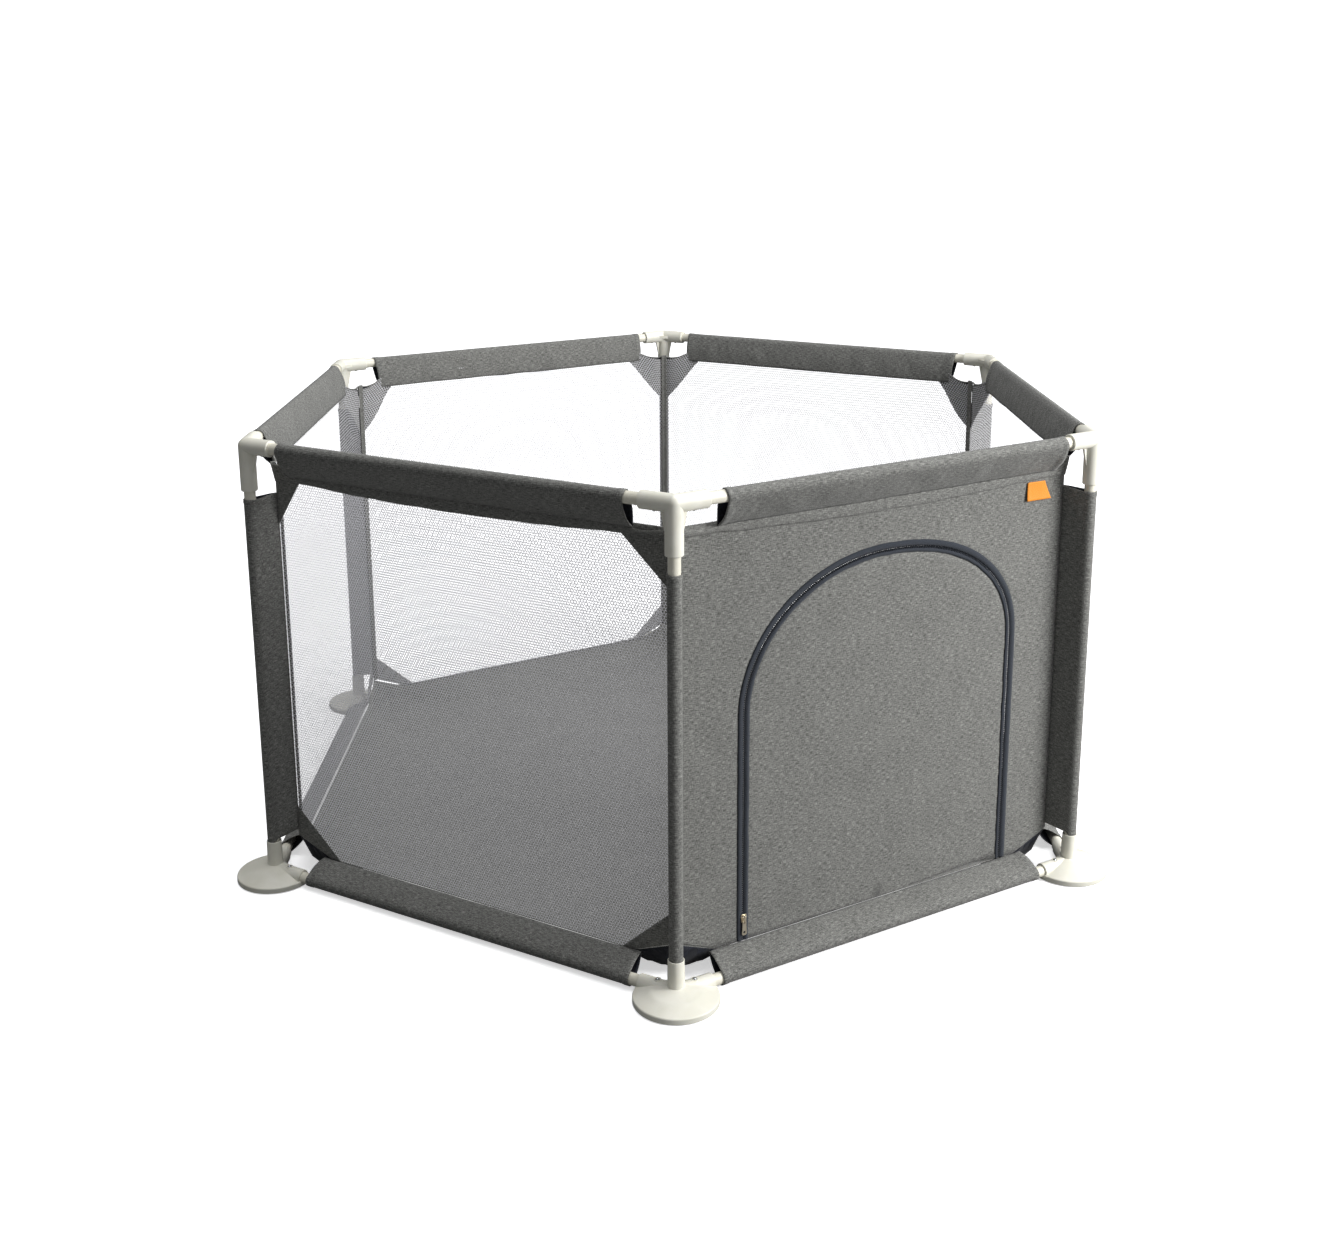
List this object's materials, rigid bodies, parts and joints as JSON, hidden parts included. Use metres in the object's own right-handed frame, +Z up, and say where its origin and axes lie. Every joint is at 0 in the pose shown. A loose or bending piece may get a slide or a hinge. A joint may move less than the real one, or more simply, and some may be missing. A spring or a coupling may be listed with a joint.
{
  "type": "playpen",
  "caption": "Hexagonal playpen: steel tubes in plastic corners and disc feet hold a cloth floor, mesh walls and one solid wall with an arched zip door.",
  "frame": {"origin": "on the ground below the middle of the hexagon", "axes": "+Z up; -Y towards the front corner; +X to the right seen from the front"},
  "size_m": [1.2714, 1.451, 0.6575],
  "materials": {
    "ivory_plastic": "moulded ivory ABS, fine satin",
    "painted_tube": "ivory powder coat",
    "heather_cloth": "plain-woven heather grey polyester",
    "white_mesh": "white hexagonal warp-knit mesh",
    "zip_tape": "blue-grey zip tape with a nylon coil",
    "zip_metal": "nickel-plated zinc",
    "button_steel": "bright plated steel",
    "spring_steel": "tempered strip steel",
    "rubber_pad": "matt grey rubber",
    "orange_label": "woven orange satin tape"
  },
  "bodies": {
    "root": {"top_corner_front": "ivory_plastic", "foot_front": "ivory_plastic", "pole_front": "painted_tube", "top_corner_front_right": "ivory_plastic", "foot_front_right": "ivory_plastic", "pole_front_right": "painted_tube", "top_corner_back_right": "ivory_plastic", "foot_back_right": "ivory_plastic", "pole_back_right": "painted_tube", "top_corner_back": "ivory_plastic", "foot_back": "ivory_plastic", "pole_back": "painted_tube", "top_corner_back_left": "ivory_plastic", "foot_back_left": "ivory_plastic", "pole_back_left": "painted_tube", "top_corner_front_left": "ivory_plastic", "foot_front_left": "ivory_plastic", "pole_front_left": "painted_tube", "top_rail_right_front": "painted_tube", "low_rail_right_front": "painted_tube", "top_rail_right": "painted_tube", "low_rail_right": "painted_tube", "mesh_wall_right": "white_mesh", "top_rail_right_back": "painted_tube", "low_rail_right_back": "painted_tube", "mesh_wall_right_back": "white_mesh", "top_rail_left_back": "painted_tube", "low_rail_left_back": "painted_tube", "mesh_wall_left_back": "white_mesh", "top_rail_left": "painted_tube", "low_rail_left": "painted_tube", "mesh_wall_left": "white_mesh", "top_rail_left_front": "painted_tube", "low_rail_left_front": "painted_tube", "mesh_wall_left_front": "white_mesh", "button_springs": "spring_steel", "foot_pads": "rubber_pad", "pole_sleeves": "heather_cloth", "rail_sleeves": "heather_cloth", "corner_patches": "heather_cloth", "floor_cloth": "heather_cloth", "door_wall": "heather_cloth", "zip_wall_side": "zip_tape", "label_tab": "orange_label"},
    "top_buttons_front": {"top_buttons_front": "button_steel"},
    "foot_buttons_front": {"foot_buttons_front": "button_steel"},
    "top_buttons_front_right": {"top_buttons_front_right": "button_steel"},
    "foot_buttons_front_right": {"foot_buttons_front_right": "button_steel"},
    "top_buttons_back_right": {"top_buttons_back_right": "button_steel"},
    "foot_buttons_back_right": {"foot_buttons_back_right": "button_steel"},
    "top_buttons_back": {"top_buttons_back": "button_steel"},
    "foot_buttons_back": {"foot_buttons_back": "button_steel"},
    "top_buttons_back_left": {"top_buttons_back_left": "button_steel"},
    "foot_buttons_back_left": {"foot_buttons_back_left": "button_steel"},
    "top_buttons_front_left": {"top_buttons_front_left": "button_steel"},
    "foot_buttons_front_left": {"foot_buttons_front_left": "button_steel"},
    "door": {"door_flap": "heather_cloth", "zip_door_side": "zip_tape"},
    "zip_slider": {"zip_slider": "zip_metal"},
    "zip_pull": {"zip_pull": "zip_metal"}
  },
  "joints": [
    {"name": "top_buttons_front_press", "type": "slide", "parent": "root", "child": "top_buttons_front", "axis": [0, 0, 1], "range_m": [0, 0.005], "stiffness_N_per_m": 300, "springref_m": -0.01, "deforming": ["button_springs"]},
    {"name": "foot_buttons_front_press", "type": "slide", "parent": "root", "child": "foot_buttons_front", "axis": [0, 0, -1], "range_m": [0, 0.005], "stiffness_N_per_m": 300, "springref_m": -0.01, "deforming": ["button_springs"]},
    {"name": "top_buttons_front_right_press", "type": "slide", "parent": "root", "child": "top_buttons_front_right", "axis": [0, 0, 1], "range_m": [0, 0.005], "stiffness_N_per_m": 300, "springref_m": -0.01, "deforming": ["button_springs"]},
    {"name": "foot_buttons_front_right_press", "type": "slide", "parent": "root", "child": "foot_buttons_front_right", "axis": [0, 0, -1], "range_m": [0, 0.005], "stiffness_N_per_m": 300, "springref_m": -0.01, "deforming": ["button_springs"]},
    {"name": "top_buttons_back_right_press", "type": "slide", "parent": "root", "child": "top_buttons_back_right", "axis": [0, 0, 1], "range_m": [0, 0.005], "stiffness_N_per_m": 300, "springref_m": -0.01, "deforming": ["button_springs"]},
    {"name": "foot_buttons_back_right_press", "type": "slide", "parent": "root", "child": "foot_buttons_back_right", "axis": [0, 0, -1], "range_m": [0, 0.005], "stiffness_N_per_m": 300, "springref_m": -0.01, "deforming": ["button_springs"]},
    {"name": "top_buttons_back_press", "type": "slide", "parent": "root", "child": "top_buttons_back", "axis": [0, 0, 1], "range_m": [0, 0.005], "stiffness_N_per_m": 300, "springref_m": -0.01, "deforming": ["button_springs"]},
    {"name": "foot_buttons_back_press", "type": "slide", "parent": "root", "child": "foot_buttons_back", "axis": [0, 0, -1], "range_m": [0, 0.005], "stiffness_N_per_m": 300, "springref_m": -0.01, "deforming": ["button_springs"]},
    {"name": "top_buttons_back_left_press", "type": "slide", "parent": "root", "child": "top_buttons_back_left", "axis": [0, 0, 1], "range_m": [0, 0.005], "stiffness_N_per_m": 300, "springref_m": -0.01, "deforming": ["button_springs"]},
    {"name": "foot_buttons_back_left_press", "type": "slide", "parent": "root", "child": "foot_buttons_back_left", "axis": [0, 0, -1], "range_m": [0, 0.005], "stiffness_N_per_m": 300, "springref_m": -0.01, "deforming": ["button_springs"]},
    {"name": "top_buttons_front_left_press", "type": "slide", "parent": "root", "child": "top_buttons_front_left", "axis": [0, 0, 1], "range_m": [0, 0.005], "stiffness_N_per_m": 300, "springref_m": -0.01, "deforming": ["button_springs"]},
    {"name": "foot_buttons_front_left_press", "type": "slide", "parent": "root", "child": "foot_buttons_front_left", "axis": [0, 0, -1], "range_m": [0, 0.005], "stiffness_N_per_m": 300, "springref_m": -0.01, "deforming": ["button_springs"]},
    {"name": "door_fold", "type": "hinge", "parent": "root", "child": "door", "pos_m": [0.28063, -0.47207, 0.08], "axis": [0.866, 0.5, 0], "range_deg": [0, 100]},
    {"name": "zip_slide", "type": "slide", "parent": "root", "child": "zip_slider", "axis": [0, 0, 1], "range_m": [0, 0.28]},
    {"name": "zip_pull_swing", "type": "hinge", "parent": "zip_slider", "child": "zip_pull", "pos_m": [0.09034, -0.58447, 0.068], "axis": [-0.866, -0.5, 0], "range_deg": [0, 170]}
  ]
}
